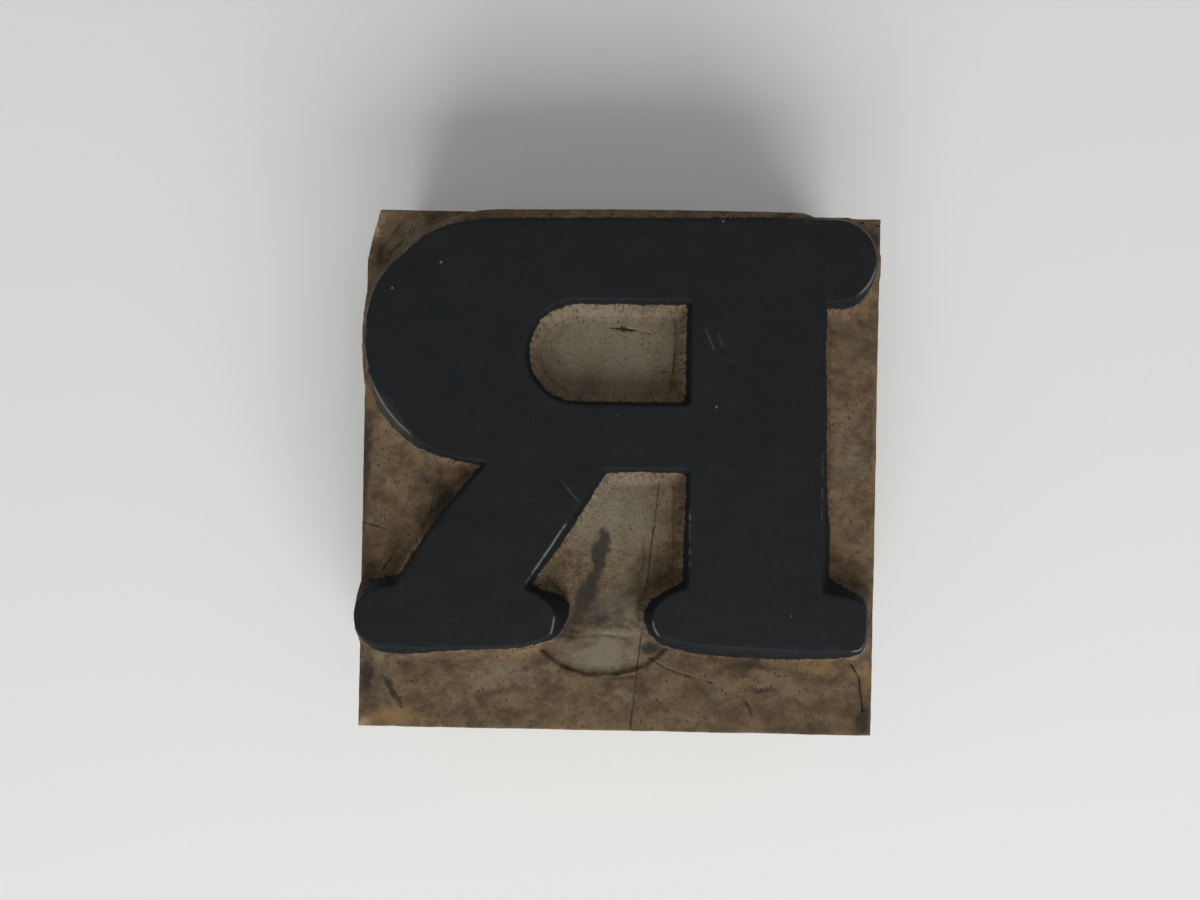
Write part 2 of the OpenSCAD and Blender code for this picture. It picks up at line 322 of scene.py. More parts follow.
def grooves(points, cuts):
    """Depth and darkness of the splits at each place."""
    jitter = 0.06 * rippled(points, 0.5, 23.0, 2)
    broken = np.clip(0.8 + 0.8 * rippled(points, 1.3, 83.0, 2), 0, 1)
    depth, dark = np.zeros(len(points)), np.zeros(len(points))
    for width, deep, shade, path in cuts:
        across = broken * np.clip(1 - (gap_to(points, path) + jitter) / width, 0, 1)
        depth = np.maximum(depth, deep * across)
        dark = np.where(across > 0, np.sign(shade) * np.maximum(np.abs(dark), abs(shade) * across), dark)
    return depth, dark


def eased(values, low, high):
    """A smooth step from 0 at low to 1 at high."""
    t = np.clip((values - low) / (high - low), 0, 1)
    return t * t * (3 - 2 * t)


def side_gap(points):
    """Distance of each place from the nearest side of the block."""
    return np.minimum(half_w - np.abs(points[:, 0]), half_h - np.abs(points[:, 1]))


# One corner is broken off: its width, length and depth, and the radius of the block's edges
chip_w, chip_l, chip_d = 1.3, 5.1, 6.0
arris = 0.22


def edge_drop(points, radius):
    """How far the worn edge of the block falls away towards its sides."""
    round_r = radius * (1 + 0.5 * rippled(points, 3, 31.0, 2))
    inner = np.clip(round_r - side_gap(points), 0, round_r)
    return round_r - np.sqrt(np.maximum(round_r ** 2 - inner ** 2, 0))


def floor_height(points):
    """Height of the wood round the letter, with every cut, tear and split in it."""
    out = outside(points)
    seen = turned(points)
    pocket = np.min([
        distance(seen.astype(np.float32), closed_counter),
        distance(seen.astype(np.float32), open_counter),
        np.hypot(seen[:, 0] - scoop_x, seen[:, 1] - scoop_y) - scoop_r,
    ], 0)
    pocket = pocket + 0.12 * rippled(points, 1.2, 5.0, 2)
    height = shoulder_z - pocket_depth * (1 - eased(pocket, -0.35, 0))
    torn = np.clip(marked(points, torn_floor), 0, 1)
    fibres = 0.05 * rippled(points, 0.7, 13.0, 2) + 0.05 * rippled(points, 0.28, 19.0, 2)
    height = height + 0.03 * rippled(points, 6, 7.0) - 0.02
    height = height + torn * fibres
    height = height + 0.012 * rippled(points, 0.3, 29.0, 2)
    ridge = np.exp(-(gap_to(points, torn_ridge) / ridge_w) ** 2)
    height = height + ridge_h * ridge * (1 + rippled(points, 0.9, 37.0, 2))
    lifted = np.exp(-(gap_to(points, lifted_splinter) / splinter_w) ** 2)
    height = height + splinter_h * lifted
    height = height - grooves(points, splits)[0]
    broken = np.clip(1 - (points[:, 0] + half_w) / chip_w - (half_h - points[:, 1]) / chip_l, 0, 1)
    splinter = 0.3 * rippled(points, 0.8, 41.0, 3)
    height = height - np.where(broken > 0, chip_d * np.clip(broken + 0.15 * splinter, 0, 1), 0)
    height = height - edge_drop(points, arris)
    ragged_w = fillet_w + 0.25 * rippled(points, 1.1, 43.0, 2)
    foot_of_wall = np.clip(1 - (out - fillet_start) / ragged_w, 0, 1)
    height = height + np.where(side_gap(points) > 0.3, fillet_h, fillet_h_at_side) * foot_of_wall ** 2
    under = eased(out, fillet_start, under_letter)
    return height * (1 - under) + shoulder_z * under


# Meshes of the worked top
# The top of each piece is one sheet of fine triangles, with its points packed along every
# edge, wall and split, and the sheet is closed by the sides and the underside.
fine = 0.15
field_rim = 1.5


def grid_points(gap, low, high):
    """Staggered rows of points, a gap apart, that fill a box."""
    rows = np.arange(low[1], high[1], gap * math.sqrt(0.75))
    columns = np.arange(low[0], high[0], gap)
    x, y = np.meshgrid(columns, rows)
    x = x + 0.5 * gap * (np.arange(len(rows)) % 2)[:, None]
    points = np.stack([x.ravel(), y.ravel()], 1)
    shift = np.stack([rippled(points, 0.37, 2.0), rippled(points, 0.37, 9.0)], 1)
    return points + 0.3 * gap * shift


def level_points(level, gap):
    """Points along the line where the distance from the face has one value."""
    low = grid_low + field_rim
    near = grid_points(gap / 2, low, -low)
    near = near[np.abs(outside(near) - level) < gap]
    step = 0.02
    for _ in range(3):
        ways = np.array([[step, 0], [0, step]])
        slope = np.stack([(outside(near + way) - outside(near - way)) / (2 * step) for way in ways], 1)
        steep = np.maximum((slope ** 2).sum(1), 0.3)
        near = near - slope * ((outside(near) - level) / steep)[:, None]
    near = near[np.abs(outside(near) - level) < 0.01]
    near = near[side_gap(near) > 0]
    kept, seen = [], {}
    for x, y in near.tolist():
        i, j = int(x // gap), int(y // gap)
        around = [p for a in (-1, 0, 1) for b in (-1, 0, 1) for p in seen.get((i + a, j + b), ())]
        if all((x - p[0]) ** 2 + (y - p[1]) ** 2 > (0.8 * gap) ** 2 for p in around):
            seen.setdefault((i, j), []).append((x, y))
            kept.append((x, y))
    return np.array(kept)


def along(path, gap):
    """Evenly spaced points along an open path."""
    corners = np.array(path, float)
    lengths = np.hypot(*np.diff(corners, axis=0).T)
    reach = np.concatenate([[0], np.cumsum(lengths)])
    stops = np.linspace(0, reach[-1], max(2, int(reach[-1] / gap) + 1))
    return np.stack([np.interp(stops, reach, corners[:, k]) for k in (0, 1)], 1)


def beside(path, gap, offset):
    """Points along both sides of a path."""
    line = along(path, gap)
    way = np.gradient(line, axis=0)
    normal = np.stack([-way[:, 1], way[:, 0]], 1) / np.hypot(*way.T)[:, None]
    return np.concatenate([line + offset * normal, line - offset * normal])


def packed(groups):
    """All groups of points together, where later ones keep their distance from earlier ones."""
    kept = groups[0][0]
    for points, gap in groups[1:]:
        tree = kdtree.KDTree(len(kept))
        for k, (x, y) in enumerate(kept.tolist()):
            tree.insert((x, y, 0), k)
        tree.balance()
        clear = [tree.find((x, y, 0))[2] > gap for x, y in points.tolist()]
        kept = np.concatenate([kept, points[clear]])
    return kept


def triangles(points, edges=(), outline=()):
    """Delaunay triangles over points in the plane, or only those inside an outline."""
    corners = [Vector(p) for p in points.tolist()]
    outlines = [list(outline)] if len(outline) else []
    made = delaunay_2d_cdt(corners, list(edges), outlines, 0, 1e-7, True)
    first = np.array([origin[0] if origin else -1 for origin in made[3]])
    faces = first[np.array(made[2])]
    if outlines:
        faces = faces[[bool(origin) for origin in made[5]]]
    return faces


def rims(faces):
    """The sheet's open edges, in the direction of their triangles."""
    edges = np.concatenate([faces[:, [0, 1]], faces[:, [1, 2]], faces[:, [2, 0]]])
    forward = set(map(tuple, edges.tolist()))
    return np.array([e for e in edges.tolist() if (e[1], e[0]) not in forward])


def make_piece(name, points, faces, kinds, finishes):
    """A mesh object in metres, with one material for each kind of face."""
    mesh = bpy.data.meshes.new(name)
    mesh.vertices.add(len(points))
    mesh.vertices.foreach_set("co", (np.asarray(points) * MM).ravel())
    mesh.loops.add(3 * len(faces))
    mesh.loops.foreach_set("vertex_index", np.asarray(faces).ravel())
    mesh.polygons.add(len(faces))
    mesh.polygons.foreach_set("loop_start", 3 * np.arange(len(faces)))
    mesh.polygons.foreach_set("material_index", kinds)
    for finish in finishes:
        mesh.materials.append(finish)
    mesh.update(calc_edges=True)
    mesh.validate()
    piece = bpy.data.objects.new(name, mesh)
    bpy.context.scene.collection.objects.link(piece)
    return piece


def note(piece, name, values):
    """Keeps one number for each point of the mesh, for its material."""
    layer = piece.data.attributes.new(name, "FLOAT", "POINT")
    layer.data.foreach_set("value", np.asarray(values, np.float32))


def note_marks(piece):
    """Keeps what the material of the worked top needs to know at each point."""
    points = np.empty(3 * len(piece.data.vertices))
    piece.data.vertices.foreach_get("co", points)
    flat = points.reshape(-1, 3)[:, :2] / MM
    out = outside(flat)
    wide = np.clip(ink_reach + marked(flat, ink_runs, 0.2), -0.2, 3)
    dark = grooves(flat, splits)[1]
    score = grooves(flat, scores)[1]
    note(piece, "out", out)
    note(piece, "reach", wide)
    note(piece, "worn", np.clip(marked(flat, worn_ink, 0.3), 0, 1))
    # rim: where the painted highlight shows along the face's edge
    note(piece, "rim", np.clip(marked(flat, painted_rim_highlights, 0.2), 0, 1))
    note(piece, "smudge", np.clip(marked(flat, smudges), 0, 1))
    note(piece, "grey", np.clip(marked(flat, pale_grey, 0.6), 0, 1))
    note(piece, "tan", np.clip(marked(flat, orange_tan, 0.6), 0, 1))
    note(piece, "raw", np.clip(marked(flat, raw_wood, 0.3), 0, 1))
    note(piece, "torn", np.clip(marked(flat, torn_floor), 0, 1))
    note(piece, "split", np.where(out > 0.2, dark, 0))
    note(piece, "score", np.where(out < -0.1, score, 0))


# Finishes of the wood
# Hard maple, darkened by a century of ink, oil and handling. The top is end grain with small
# dark pores, and the sides are long grain.


def paint(red, green, blue):
    """A colour as it is seen, 0 to 255, turned into the light it reflects."""
    parts = [c / 255 for c in (red, green, blue)]
    return tuple(c / 12.92 if c < 0.04045 else ((c + 0.055) / 1.055) ** 2.4 for c in parts) + (1,)


class Value:
    """A node's output. Arithmetic on it adds Math nodes to the same material."""

    def __init__(self, socket):
        self.socket = socket

    def math(self, operation, *terms):
        """Adds one Math node beside this output, fed with the terms."""
        node = self.socket.id_data.nodes.new("ShaderNodeMath")
        node.operation = operation
        for slot, term in zip(node.inputs, terms):
            feed(slot, term)
        return Value(node.outputs[0])

    def __add__(self, other):
        return self.math("ADD", self, other)

    def __mul__(self, other):
        return self.math("MULTIPLY", self, other)

    def __sub__(self, other):
        return self.math("SUBTRACT", self, other)

    def __rsub__(self, other):
        return self.math("SUBTRACT", other, self)

    __radd__ = __add__
    __rmul__ = __mul__


def feed(slot, value):
    """Links a node's output to a socket, or sets the socket's own value."""
    if isinstance(value, Value):
        slot.id_data.links.new(value.socket, slot)
    else:
        slot.default_value = value


class Finish:
    """A material in the making: a Principled shader and the nodes that feed it."""

    def __init__(self, name, **fixed):
        self.material = bpy.data.materials.new(name)
        self.material.use_nodes = True
        self.nodes = self.material.node_tree.nodes
        self.shader = self.nodes["Principled BSDF"]
        for key, value in fixed.items():
            self.shader.inputs[key.replace("_", " ")].default_value = value

    def node(self, kind, settings, values, output=0):
        """Adds a node: its settings first, then the values or links of its sockets."""
        made = self.nodes.new("ShaderNode" + kind)
        for key, value in settings.items():
            setattr(made, key, value)
        for key, value in values.items():
            feed(made.inputs[key], value)
        return Value(made.outputs[output])

    def places(self, stretch):
        """Object coordinates in millimetres, divided by a stretch along each axis."""
        at = self.node("TexCoord", {}, {}, "Object")
        scale = [1 / (MM * s) for s in stretch]
        return self.node("VectorMath", {"operation": "MULTIPLY"}, {0: at, 1: scale})

    def kept(self, name):
        """A number that the mesh keeps for each point."""
        return self.node("Attribute", {"attribute_name": name}, {}, "Fac")

    def noise(self, stretch, detail=2, rough=0.5, warp=0):
        """Cloudy variation from 0 to 1, with clouds about as large as the stretch."""
        values = {"Vector": self.places(stretch), "Scale": 1, "Detail": detail,
                  "Roughness": rough, "Distortion": warp}
        return self.node("TexNoise", {}, values)

    def mask(self, value, low, high):
        """A smooth step from 0 at low to 1 at high."""
        values = {"Value": value, "From Min": low, "From Max": high}
        return self.node("MapRange", {"interpolation_type": "SMOOTHSTEP"}, values)

    def blend(self, first, second, amount):
        """The first colour, giving way to the second as the amount goes from 0 to 1."""
        settings = {"data_type": "RGBA", "blend_type": "MIX", "clamp_factor": True}
        return self.node("Mix", settings, {0: amount, 6: first, 7: second}, 2)

    def dots(self, stretch, size, share):
        """Small soft dots, one in some of the cells, from 0 to 1."""
        at = {"Vector": self.places(stretch), "Scale": 1}
        gap = self.node("TexVoronoi", {}, at, "Distance")
        tint = self.node("TexVoronoi", {}, at, "Color")
        chance = self.node("SeparateColor", {}, {0: tint}, 0)
        return self.mask(gap, size, size * 0.4) * self.mask(chance, 1 - share, 1 - share + 0.05)

    def relief(self, height, depth):
        """Fine relief, too small for the mesh, in millimetres."""
        values = {"Height": height, "Distance": depth * MM, "Strength": 1}
        bump = self.node("Bump", {}, values)
        feed(self.shader.inputs["Normal"], bump)

    def done(self, colour, rough):
        """Gives the shader its colour and roughness, and hands over the material."""
        feed(self.shader.inputs["Base Color"], colour)
        feed(self.shader.inputs["Roughness"], rough)
        return self.material


def worked_top():
    """End grain as cut and planed, and the ink on it: on the face, down the walls and spilt."""
    f = Finish("worked_end_grain", Specular_IOR_Level=0.1)
    column = 60
    broad = f.noise((3.2, 2.4, column), 4, 0.6)
    mottle = f.noise((0.9, 0.7, column), 3, 0.65, 0.5)
    grit = f.noise((0.22, 0.2, 4), 3, 0.7)
    torn, grey, tan = f.kept("torn"), f.kept("grey"), f.kept("tan")

    brown = f.blend(paint(78, 63, 48), paint(116, 97, 75), f.mask(broad + mottle * 0.6, 0.55, 1.05))
    wood = f.blend(brown, paint(119, 110, 93), f.mask(grey + (mottle - 0.5) * 0.7, 0.1, 0.9))
    wood = f.blend(wood, paint(137, 108, 72), f.mask(tan + (broad - 0.5) * 0.8, 0.25, 1) * 0.75)
    olive = f.mask(f.noise((2.6, 3.6, column), 2, 0.5) + torn * 0.1, 0.5, 0.75)
    wood = f.blend(wood, paint(90, 84, 64), olive * 0.35)

    pores = f.dots((0.34, 0.62, column), 0.36, 0.4) * f.mask(broad, 0.4, 0.6)
    wood = f.blend(wood, paint(52, 38, 28), pores * (1 - torn * 0.7) * 0.75)
    fibre = f.mask(grit, 0.52, 0.72)
    hollow = f.mask(grit, 0.46, 0.3)
    wood = f.blend(wood, paint(158, 147, 124), fibre * (0.12 + torn * 0.5))
    wood = f.blend(wood, paint(58, 48, 36), hollow * (0.25 + torn * 0.5))
    glints = f.dots((0.2, 0.28, 1), 0.3, 0.2)
    wood = f.blend(wood, paint(190, 180, 156), glints * torn * 0.55)
    wood = f.blend(wood, paint(168, 138, 106), f.kept("raw"))

    near_wall = f.mask(f.kept("out") - f.kept("reach"), 1.1, 0.1)
    fleck = f.mask(f.noise((0.3, 0.3, 3), 2, 0.6), 0.5, 0.66)
    wood = f.blend(wood, paint(48, 38, 26), near_wall * fleck * 0.6)
    stain = f.mask(f.noise((4, 3, column), 4, 0.65, 0.6), 0.52, 0.68) * (1 - grey * 0.7)
    wood = f.blend(wood, paint(58, 46, 35), stain * 0.5)
    dirt = f.mask(f.kept("smudge") + (mottle - 0.5) * 0.9 + (grit - 0.5) * 0.4, 0.15, 0.85)
    wood = f.blend(wood, paint(42, 41, 38), dirt * 0.85)
    wood = f.blend(wood, paint(38, 28, 20), f.mask(f.kept("split"), 0.05, 0.6) * 0.9)

    patch = f.noise((5, 2.6, column), 4, 0.6)
    brushed = f.noise((0.18, 1.6, column), 3, 0.6) + f.noise((1.6, 0.18, column), 3, 0.6)
    speck = f.noise((0.16, 0.16, 2), 2, 0.7)
    ink = f.blend(paint(17, 20, 23), paint(26, 27, 29), f.mask(brushed + patch, 1.1, 1.9))
    ink = f.blend(ink, paint(16, 24, 26), f.mask(f.noise((4, 4, column), 2), 0.58, 0.75) * 0.4)
    ink = f.blend(ink, paint(8, 9, 11), f.mask(speck + (patch - 0.5) * 0.5, 0.42, 0.3) * 0.6)
    ink = f.blend(ink, paint(44, 46, 48), f.mask(speck, 0.66, 0.8) * 0.5)
    ink = f.blend(ink, paint(125, 126, 122), f.dots((2.4, 2.4, column), 0.07, 0.3) * 0.6)
    worn = f.kept("worn")
    ink = f.blend(ink, paint(66, 64, 54), f.mask(worn + (mottle - 0.5) * 0.9, 0.2, 1.1) * 0.7)
    edge = f.kept("out")
    # Painted highlight: pale grey in a narrow band on the face's edge, where the rounded edge would
    # catch the window lamp
    rim = f.mask(edge, -0.2, -0.09) * f.mask(edge, 0.1, 0.0)
    painted_highlight = rim * f.mask(f.kept("rim") + (f.noise((0.7, 0.7, 2), 2) - 0.5) * 1.2, 0.3, 0.9)
    ink = f.blend(ink, paint(120, 121, 118), painted_highlight * 0.6)
    ink = f.blend(ink, paint(95, 97, 97), f.kept("score"))

    ragged = edge + (grit - 0.5) * 0.35 + (mottle - 0.5) * 0.35
    bare = f.mask(ragged - f.kept("reach"), -0.02, 0.06)
    colour = f.blend(ink, wood, bare)
    f.relief(grit * (0.4 + torn) * bare + speck * 0.25 - pores * bare * 0.6, 0.07)
    dull = 0.62 + bare * 0.3 + (speck - 0.5) * 0.1
    return f.done(colour, dull)


def side_grain():
    """Long grain on the sides: sawn, sanded, handled, and inked over near the top."""
    f = Finish("long_grain", Specular_IOR_Level=0.35)
    band = f.noise((3.5, 3.5, 140), 3, 0.6, 0.3)
    streak = f.noise((0.35, 0.35, 9), 4, 0.65)
    wood = f.blend(paint(104, 83, 60), paint(142, 118, 87), f.mask(band + streak * 0.5, 0.5, 1.05))
    wood = f.blend(wood, paint(88, 64, 42), f.mask(streak, 0.62, 0.74) * 0.6)
    flecks = f.dots((0.5, 0.5, 1.5), 0.36, 0.35)
    wood = f.blend(wood, paint(112, 82, 54), flecks * 0.45)
    cloud = f.noise((5, 5, 5), 5, 0.65, 0.4)
    grime = f.mask(cloud, 0.5, 0.72)
    wood = f.blend(wood, paint(70, 58, 46), grime * 0.6)
    up = f.node("SeparateXYZ", {}, {0: f.places((1, 1, 1))}, "Z")
    run_down = up + (f.noise((1.1, 1.1, 6), 4, 0.6) - 0.5) * 14 + (cloud - 0.5) * 10
    inked = f.mask(run_down, 17.5, 21.5)
    wood = f.blend(wood, paint(36, 37, 38), inked * 0.9)
    wood = f.blend(wood, paint(60, 52, 44), f.mask(up + (cloud - 0.5) * 4, 1.5, 0.2) * 0.6)
    saw = f.noise((40, 40, 0.5), 2, 0.5)
    f.relief(streak * 0.6 + saw * 0.4 + flecks * 0.2, 0.05)
    return f.done(wood, 0.6 - inked * 0.1 + (streak - 0.5) * 0.2)


def foot_grain():
    """End grain under the foot: planed flat, with growth rings and rays, and worn at the rim."""
    f = Finish("planed_end_grain", Specular_IOR_Level=0.3)
    heart_of_tree = (-70, -45, 0)
    ring_gap = 1.3
    at = f.places((1, 1, 1))
    away = f.node("VectorMath", {"operation": "SUBTRACT"}, {0: at, 1: heart_of_tree})
    from_heart = f.node("VectorMath", {"operation": "LENGTH"}, {0: away}, "Value")
    ring = from_heart + f.noise((12, 12, 90), 2) * 4
    line = f.node("Math", {"operation": "PINGPONG"}, {0: ring, 1: ring_gap})
    wood = f.blend(paint(150, 124, 92), paint(118, 90, 60), f.mask(line, 0.9, 1.3) * 0.7)
    pores = f.dots((0.36, 0.36, 40), 0.3, 0.6)
    wood = f.blend(wood, paint(70, 50, 34), pores * 0.7)
    cloud = f.noise((6, 6, 40), 5, 0.65)
    wood = f.blend(wood, paint(64, 54, 44), f.mask(cloud, 0.5, 0.72) * 0.7)
    f.relief(f.noise((0.25, 0.25, 40), 3) - pores * 0.8, 0.05)
    return f.done(wood, 0.62 + (cloud - 0.5) * 0.2)


top_finish, side_finish, foot_finish = worked_top(), side_grain(), foot_grain()

# Block
# Two upright pieces of maple, glued edge to edge along a line that leans 5.7 degrees, make the
# block. It stands on its foot, and the sides are sawn and sanded square.
joint_x, joint_lean = 4.0, 5.7
glue_half = 0.05
bottom_round = 0.25
wear_reach = 0.5
side_step = 0.2
side_rows = [0.995, 0.98, 0.95, 0.9, 0.82, 0.7, 0.56, 0.42, 0.3, 0.2, 0.12, 0.06, 0.025]
rim_rows = [0.06, 0.13, 0.24]


def joint_at(y):
    """Where the joint's middle runs, across the block."""
    return joint_x + y * math.tan(math.radians(joint_lean))


def side_wear(points):
    """How far the sides lie inside the block's square outline, from wear and uneven sanding."""
    flat = np.stack([points[:, 0] - points[:, 1] * 0.7, points[:, 2] + points[:, 1] * 0.4], 1)
    wear = 0.05 + 0.035 * rippled(flat, 9, 51.0, 2) + 0.02 * rippled(flat, 1.2, 53.0, 3)
    foot = np.clip(1 - points[:, 2] / bottom_round, 0, 1)
    return np.clip(wear, 0, 0.2) + bottom_round * (1 - np.sqrt(1 - foot ** 2))


def drawn_in(points):
    """The points with the worn sides of the block moved inwards."""
    wear = side_wear(points)
    moved = points.copy()
    for axis, half in ((0, half_w), (1, half_h)):
        near = np.clip(1 - (half - np.abs(points[:, axis])) / wear_reach, 0, 1)
        moved[:, axis] -= np.sign(points[:, axis]) * wear * near
    return moved


square = np.array([(-1, -1), (1, -1), (1, 1), (-1, 1), (-1, -1)])
foot_of_walls = 1.24
base_line = level_points(foot_of_walls, fine)
dive_line = level_points(under_letter, fine * 1.3)
split_points = [
    (np.concatenate([along(path, 0.09)] + [beside(path, 0.09, width * k) for k in (0.5, 1.0)]), 0.05)
    for width, deep, shade, path in splits
]
ground = grid_points(fine, (-half_w, -half_h), (half_w, half_h))
ground = ground[(outside(ground) > floor_start) & (side_gap(ground) > 0.05)]
buried = grid_points(1.2, (-half_w, -half_h), (half_w, half_h))
buried = buried[(outside(buried) < 0.8) & (side_gap(buried) > 0.3)]


def stave(name, side):
    """One upright piece of the block: -1 is left of the joint and 1 is right of it."""
    low, high = joint_at(-half_h) + side * glue_half, joint_at(half_h) + side * glue_half
    out_x = side * half_w
    corners = [(out_x, -half_h), (low, -half_h), (high, half_h), (out_x, half_h)][::-side]
    walls = [along([a, b], side_step)[:-1] for a, b in zip(corners, corners[1:] + corners[:1])]
    ring = np.concatenate(walls)

    def within(points):
        reach = side * (points[:, 0] - joint_at(points[:, 1]))
        return points[(reach > glue_half + 0.03) & (side_gap(points) > 0.03)]

    rows = []
    for inset in rim_rows:
        shrink = np.array([half_w - inset, half_h - inset])
        rows.append((along(square * shrink, side_step), 0.04))
    groups = [(ring, 0)] + [(within(points), gap) for points, gap in rows + split_points + [
        (base_line, 0.07), (dive_line, 0.1), (ground, 0.1), (buried, 0.5)]]
    top = packed(groups)
    count = len(ring)
    top_faces = triangles(top, outline=range(count))
    top_z = floor_height(top)
    points = [np.column_stack([top, top_z])]
    for share in side_rows + [0]:
        points.append(np.column_stack([ring, top_z[:count] * share]))
    under = packed([(ring, 0), (within(grid_points(2.5, (-half_w, -half_h), (half_w, half_h))), 1)])
    points.append(np.column_stack([under[count:], np.zeros(len(under) - count)]))
    points = np.concatenate(points)

    faces, kinds = [top_faces], [np.zeros(len(top_faces), int)]
    here = np.arange(count)
    ahead = (here + 1) % count
    above = 0
    for row in range(len(side_rows) + 1):
        below = len(top) + row * count
        quads = np.concatenate([
            np.column_stack([above + here, below + here, below + ahead]),
            np.column_stack([above + here, below + ahead, above + ahead]),
        ])
        faces.append(quads)
        kinds.append(np.ones(len(quads), int))
        above = below
    bottom = triangles(under, outline=range(count))[:, ::-1] + above
    faces.append(bottom)
    kinds.append(np.full(len(bottom), 2))
    piece = make_piece(name, drawn_in(points), np.concatenate(faces), np.concatenate(kinds),
                       [top_finish, side_finish, foot_finish])
    note_marks(piece)
    piece.data.shade_smooth()
    return piece


left_block = stave("left_block", -1)
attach(left_block, "root")
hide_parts("left_stave")
right_block = stave("right_block", 1)
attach(right_block, "root")
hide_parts("right_stave")

# Glue
# Hide glue, dried to a dark amber, holds the two pieces of the block together and the letter
# down on them. It shows only as a thin line, a little sunk and full of dirt.


def glue_finish():
    """Hide glue that has dried cloudy, from near black to a dull amber."""
    f = Finish("dried_glue", Specular_IOR_Level=0.4)
    cloud = f.noise((1.2, 1.2, 1.2), 4, 0.6)
    colour = f.blend(paint(44, 32, 22), paint(92, 72, 48), f.mask(cloud, 0.35, 0.7))
    f.relief(f.noise((0.2, 0.2, 0.2), 2), 0.02)
    return f.done(colour, 0.5 + (cloud - 0.5) * 0.3)


glue = glue_finish()


def joint_glue():
    """A thin upright sheet that fills the joint up to just below the worked top."""
    short_of_ends, below_floor, above_foot = 0.1, 0.05, 0.02
    ends = [(joint_at(-half_h), -half_h + short_of_ends), (joint_at(half_h), half_h - short_of_ends)]
    line = along(ends, side_step)
    edges = [line + (side * glue_half, 0) for side in (-1, 1)]
    sunk = np.minimum(floor_height(edges[0]), floor_height(edges[1])) - below_floor
    sunk = np.where(outside(line) < floor_start, shoulder_z, sunk)
    top = [np.column_stack([edge, sunk]) for edge in edges]
    low = [np.column_stack([edge, np.full(len(edge), above_foot)]) for edge in edges]
    points = np.concatenate(top + low)
    n = len(line)
    corners = [(0, 1), (1, 3), (3, 2), (2, 0)]
    faces = []
    for a, b in corners:
        for k in range(n - 1):
            p, q, r, s = a * n + k, b * n + k, b * n + k + 1, a * n + k + 1
            faces += [(p, q, r), (p, r, s)]
    end = n - 1
    faces += [(0, 2 * n, 3 * n), (0, 3 * n, n)]
    faces += [(end, n + end, 3 * n + end), (end, 3 * n + end, 2 * n + end)]
    return make_piece("joint_glue", points, faces, np.zeros(len(faces), int), [glue])


joint = joint_glue()
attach(joint, "root")
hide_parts("stave_glue")

# Letter
# The letter is end-grain maple too. Its face carries a skin of dried blue-black ink that ran
# down the walls in places. The walls slope out to the floor, and their lower part is bare.
bevel_slope = 0.73
letter_arris = 0.16
notches = [(19.2, 25.2, 2.2, 0.5, -6, 1.3), (24.6, -16.9, 0.7, 0.5, 40, 0.3)]
notch_depth = 1.1
wall_profile_out = [-0.2, -0.09, -0.03, 0.0, 0.05, 0.12, wall_run]
wall_profile_drop = [0.0, 0.012, 0.04, 0.09, 0.28, 0.5, 2.8]


def letter_height(points):
    """Height of the letter's top: a flat face with a worn edge, and ragged sloping walls."""
    out = outside(points)
    seen = turned(points)
    rough = 0.1 * rippled(points, 0.8, 61.0, 3) + 0.05 * rippled(points, 0.25, 67.0, 2)
    ragged = out + rough * eased(out, 0.05, 0.6)
    wall = face_z - np.interp(ragged, wall_profile_out, wall_profile_drop)
    bevel = face_z - 0.05 - bevel_slope * np.clip(out, 0, None) + 0.03 * rippled(points, 0.6, 71.0, 2)
    bevelled = (seen[:, 1] > cap_y - 1.5) * eased(seen[:, 0], -18, -13) * eased(seen[:, 0], 19.5, 17)
    height = np.where(out > 0, wall * (1 - bevelled) + np.maximum(bevel, wall) * bevelled, wall)
    height = height - 0.012 * (1 + rippled(points, 7, 73.0, 2)) * eased(out, 0, -0.5)
    height = height - grooves(points, scores)[0] * (out < 0)
    height = height - edge_drop(points, letter_arris)
    notch = marked(points, notches, 0.2)
    height = height - np.clip(notch, 0, 1) * notch_depth * eased(out, 0, 0.3)
    return np.clip(height, letter_z + 0.06, face_z)


def on_letter(faces, points):
    """Those triangles that lie within the foot of the walls and the sides of the block."""
    middle = points[faces].mean(1)
    return faces[(outside(middle) < wall_run) & (side_gap(middle) > 0)]


